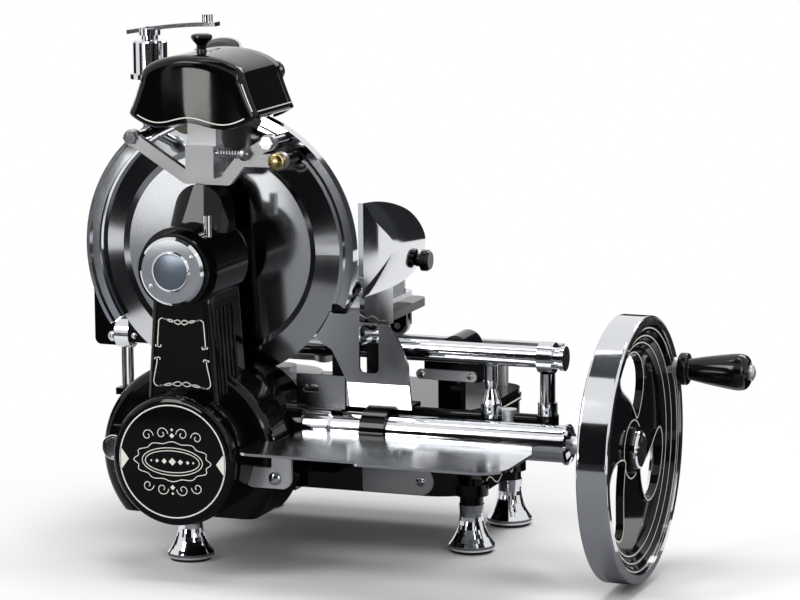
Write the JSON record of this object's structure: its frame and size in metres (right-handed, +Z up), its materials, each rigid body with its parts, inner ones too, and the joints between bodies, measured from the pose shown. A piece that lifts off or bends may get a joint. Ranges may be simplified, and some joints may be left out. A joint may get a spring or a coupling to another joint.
{
  "type": "hand crank meat slicer",
  "caption": "Hand cranked meat slicer with a large flywheel, round blade in a guard ring, sliding carriage with a meat table and clamp, and a hooded sharpener.",
  "frame": {"origin": "middle of the outline on the floor plane, under the soles of the feet", "axes": "X to the flywheel's side, Y away from the operator's front towards the carriage, Z up"},
  "size_m": [0.815, 0.461, 0.624],
  "materials": {
    "black_enamel": "high gloss black enamel over cast iron",
    "mirror_chrome": "polished chrome plate",
    "polished_steel": "fine polished stainless steel",
    "machined_steel": "turned and ground steel",
    "brass": "polished brass",
    "black_grip": "turned and lacquered black",
    "grindstone": "bonded abrasive",
    "rubber": "moulded rubber",
    "spring_steel": "bright spring wire"
  },
  "bodies": {
    "frame": {"feet": "mirror_chrome", "foot_soles": "rubber", "base_casting": "black_enamel", "data_plate": "polished_steel", "drive_housing": "black_enamel", "drive_cover": "black_enamel", "pillar": "black_enamel", "hub_cover": "mirror_chrome", "guard_ring": "mirror_chrome", "wishbone": "polished_steel", "tension_spring": "spring_steel", "sharpener_yoke": "machined_steel", "shaft_tube": "mirror_chrome", "tray": "polished_steel", "left_deflector": "polished_steel", "plate_stand": "black_enamel", "rail": "mirror_chrome", "rail_posts": "mirror_chrome", "rail_brackets": "black_enamel", "steel_fittings": "machined_steel", "fixed_fittings": "mirror_chrome", "chain": "machined_steel"},
    "flywheel": {"flywheel_rim": "mirror_chrome", "flywheel_web": "black_enamel", "flywheel_cap": "mirror_chrome", "drive_shaft": "machined_steel", "drive_crown": "machined_steel", "handle_pin": "machined_steel"},
    "grip": {"handle_grip": "black_grip"},
    "cross": {"cross_shaft": "machined_steel"},
    "blade_group": {"blade": "polished_steel", "blade_shaft": "machined_steel"},
    "crank": {"crank_shaft": "machined_steel", "crank_crown": "machined_steel"},
    "rod": {"connecting_rod": "machined_steel"},
    "carriage_group": {"carriage": "black_enamel", "carriage_fittings": "polished_steel", "fence": "mirror_chrome"},
    "left_wheel": {"left_roller": "machined_steel"},
    "right_wheel": {"right_roller": "machined_steel"},
    "screw": {"feed_screw": "machined_steel"},
    "fence_button": {"fence_knob": "black_grip"},
    "table": {"meat_table": "polished_steel", "clamp_post": "mirror_chrome"},
    "clamp": {"clamp_arm": "mirror_chrome"},
    "press": {"press_plate": "polished_steel"},
    "hand": {"hand_wheel": "black_grip", "hand_rim": "mirror_chrome"},
    "lever": {"clamp_lever": "mirror_chrome"},
    "gauge": {"gauge_plate": "polished_steel"},
    "index": {"index_lever": "mirror_chrome", "index_grip": "black_grip"},
    "hood_group": {"hood": "black_enamel"},
    "front_stem": {"front_spindle": "machined_steel"},
    "front_stone": {"stone_front": "grindstone"},
    "push": {"push_rod": "machined_steel", "push_knob": "black_grip"},
    "rear_stone": {"stone_rear": "grindstone"},
    "brass": {"brass_knob": "brass", "brass_knob_body": "black_grip"}
  },
  "joints": [
    {"name": "flywheel_spin", "type": "hinge", "parent": "frame", "child": "flywheel", "pos_m": [0.0995, -0.0515, 0.16], "axis": [1, 0, 0], "continuous": true},
    {"name": "grip_spin", "type": "hinge", "parent": "flywheel", "child": "grip", "pos_m": [0.3595, 0.0613, 0.23325], "axis": [1, 0, 0], "continuous": true},
    {"name": "cross_shaft_spin", "type": "hinge", "parent": "frame", "child": "cross", "pos_m": [-0.2005, -0.0615, 0.16], "axis": [0, 1, 0], "continuous": true},
    {"name": "blade_spin", "type": "hinge", "parent": "frame", "child": "blade_group", "pos_m": [-0.2005, -0.0615, 0.365], "axis": [0, 1, 0], "continuous": true},
    {"name": "crank_spin", "type": "hinge", "parent": "frame", "child": "crank", "pos_m": [-0.2005, 0.1235, 0.185], "axis": [0, 0, 1], "continuous": true},
    {"name": "carriage_slide", "type": "slide", "parent": "frame", "child": "carriage_group", "axis": [1, 0, 0], "range_m": [0, 0.18]},
    {"name": "left_roller_spin", "type": "hinge", "parent": "carriage_group", "child": "left_wheel", "pos_m": [-0.3505, 0.2125, 0.2373], "axis": [0, 1, 0], "range_deg": [0, 860]},
    {"name": "right_roller_spin", "type": "hinge", "parent": "carriage_group", "child": "right_wheel", "pos_m": [-0.0805, 0.2125, 0.2373], "axis": [0, 1, 0], "range_deg": [0, 860]},
    {"name": "rod_swing", "type": "hinge", "parent": "carriage_group", "child": "rod", "pos_m": [-0.1455, 0.1235, 0.209], "axis": [0, 0, 1], "range_deg": [-37, 37]},
    {"name": "table_feed", "type": "slide", "parent": "carriage_group", "child": "table", "axis": [0, -1, 0], "range_m": [0, 0.055]},
    {"name": "feed_screw_turn", "type": "hinge", "parent": "carriage_group", "child": "screw", "pos_m": [-0.2155, 0.1385, 0.254], "axis": [0, -1, 0], "range_deg": [0, 2480]},
    {"name": "fence_knob_turn", "type": "hinge", "parent": "carriage_group", "child": "fence_button", "pos_m": [-0.0305, 0.1505, 0.329], "axis": [1, 0, 0], "continuous": true},
    {"name": "clamp_height", "type": "slide", "parent": "table", "child": "clamp", "axis": [0, 0, -1], "range_m": [0, 0.12]},
    {"name": "press_height", "type": "slide", "parent": "clamp", "child": "press", "axis": [0, 0, -1], "range_m": [0, 0.02]},
    {"name": "hand_wheel_turn", "type": "hinge", "parent": "clamp", "child": "hand", "pos_m": [-0.2665, 0.0915, 0.579], "axis": [0, -0.4384, 0.8988], "continuous": true},
    {"name": "clamp_lever_turn", "type": "hinge", "parent": "table", "child": "lever", "pos_m": [-0.3535, 0.0885, 0.601], "axis": [0, 0, 1], "range_deg": [-40, 40]},
    {"name": "gauge_shift", "type": "slide", "parent": "frame", "child": "gauge", "axis": [0, -1, 0], "range_m": [0, 0.012]},
    {"name": "index_turn", "type": "hinge", "parent": "frame", "child": "index", "pos_m": [-0.0425, -0.0415, 0.324], "axis": [0, 1, 0], "range_deg": [-30, 0]},
    {"name": "hood_lift", "type": "slide", "parent": "frame", "child": "hood_group", "axis": [0, 0, 1], "range_m": [0, 0.08]},
    {"name": "front_press", "type": "slide", "parent": "frame", "child": "front_stem", "axis": [0, 1, 0], "range_m": [0, 0.006], "stiffness_N_per_m": 200},
    {"name": "stone_front_spin", "type": "hinge", "parent": "front_stem", "child": "front_stone", "pos_m": [-0.2305, -0.0795, 0.523], "axis": [0, 1, 0], "continuous": true},
    {"name": "rear_press", "type": "slide", "parent": "frame", "child": "push", "axis": [0, -1, 0], "range_m": [0, 0.006], "stiffness_N_per_m": 200},
    {"name": "stone_rear_spin", "type": "hinge", "parent": "push", "child": "rear_stone", "pos_m": [-0.1665, -0.0455, 0.523], "axis": [0, 1, 0], "continuous": true},
    {"name": "brass_knob_turn", "type": "hinge", "parent": "frame", "child": "brass", "pos_m": [-0.1025, -0.1115, 0.479], "axis": [0, 1, 0], "continuous": true}
  ],
  "couplings": [
    {"joint": "cross_shaft_spin", "follows": "flywheel_spin", "ratio": 2.5},
    {"joint": "blade_spin", "follows": "flywheel_spin", "ratio": 3.3333},
    {"joint": "crank_spin", "follows": "flywheel_spin", "ratio": 1},
    {"joint": "left_roller_spin", "follows": "carriage_slide", "rad_per_m": 83.333},
    {"joint": "right_roller_spin", "follows": "carriage_slide", "rad_per_m": 83.333},
    {"joint": "feed_screw_turn", "follows": "table_feed", "rad_per_m": 785.4},
    {"joint": "gauge_shift", "follows": "index_turn", "m_per_rad": -0.022918}
  ]
}
